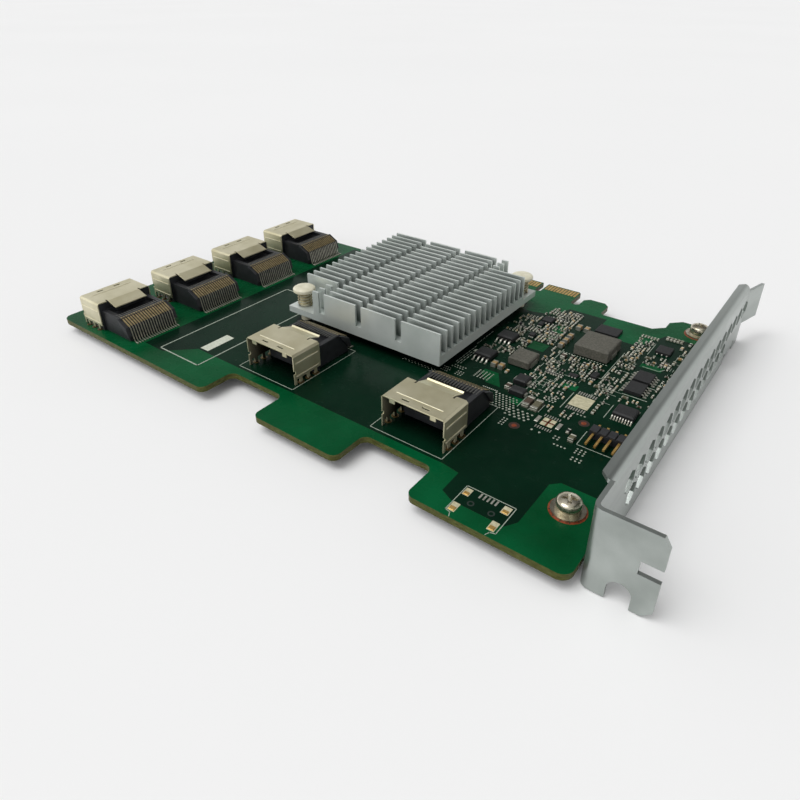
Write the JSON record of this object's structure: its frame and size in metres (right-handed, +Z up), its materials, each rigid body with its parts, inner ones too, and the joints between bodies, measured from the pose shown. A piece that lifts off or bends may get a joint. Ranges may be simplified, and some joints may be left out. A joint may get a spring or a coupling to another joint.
{
  "type": "expander card",
  "caption": "Full-height expansion card with mini-SAS ports along two edges, a finned heatsink, power parts and a folded slot bracket, for joining storage cables.",
  "frame": {"origin": "middle of the key notch in the card edge, at the tips of the edge contacts, on the board's underside", "axes": "+X along the card edge to the slot bracket, +Y out of the card edge, +Z up from the component side"},
  "size_m": [0.1778, 0.1235, 0.0185],
  "materials": {
    "board": "semi-gloss green solder mask over fibreglass",
    "gold": "gold plate",
    "bracket": "satin plated steel",
    "heatsink": "satin extruded aluminium",
    "shell": "warm nickel plate",
    "housing": "black moulded plastic",
    "contact": "tinned copper alloy",
    "screw": "bright nickel plate",
    "package": "black moulding compound",
    "pad": "soft grey pad",
    "nylon": "cream nylon",
    "spring": "drawn wire",
    "ferrite": "grey pressed iron powder",
    "tin": "tinned",
    "ceramic": "tan ceramic"
  },
  "bodies": {
    "root": {"block_terminals": "tin", "capacitor_terminals": "tin", "ceramic_capacitors": "ceramic", "chip_leads": "tin", "circuit_board": "board", "controller_chip": "package", "diode": "package", "edge_contacts": "gold", "expander_chip": "package", "first_side_port_contacts": "contact", "first_side_port_housing": "housing", "first_side_port_shell": "shell", "flat_washers": "screw", "fourth_side_port_contacts": "contact", "fourth_side_port_housing": "housing", "fourth_side_port_shell": "shell", "front_left_port_contacts": "contact", "front_left_port_housing": "housing", "front_left_port_shell": "shell", "front_memory_chip": "package", "front_pin_spring": "spring", "front_push_pin": "nylon", "front_right_port_contacts": "contact", "front_right_port_housing": "housing", "front_right_port_shell": "shell", "front_screw": "screw", "front_transistor": "package", "header_base": "housing", "header_pins": "gold", "heatsink": "heatsink", "inductor_terminals": "tin", "large_inductor": "ferrite", "lock_washers": "screw", "rear_memory_chip": "package", "rear_pin_spring": "spring", "rear_push_pin": "nylon", "rear_screw": "screw", "rear_transistor": "package", "regulator_chip": "package", "second_side_port_contacts": "contact", "second_side_port_housing": "housing", "second_side_port_shell": "shell", "slot_bracket": "bracket", "small_inductor": "ferrite", "supply_capacitor": "package", "thermal_pad": "pad", "third_side_port_contacts": "contact", "third_side_port_housing": "housing", "third_side_port_shell": "shell"}
  },
  "joints": []
}
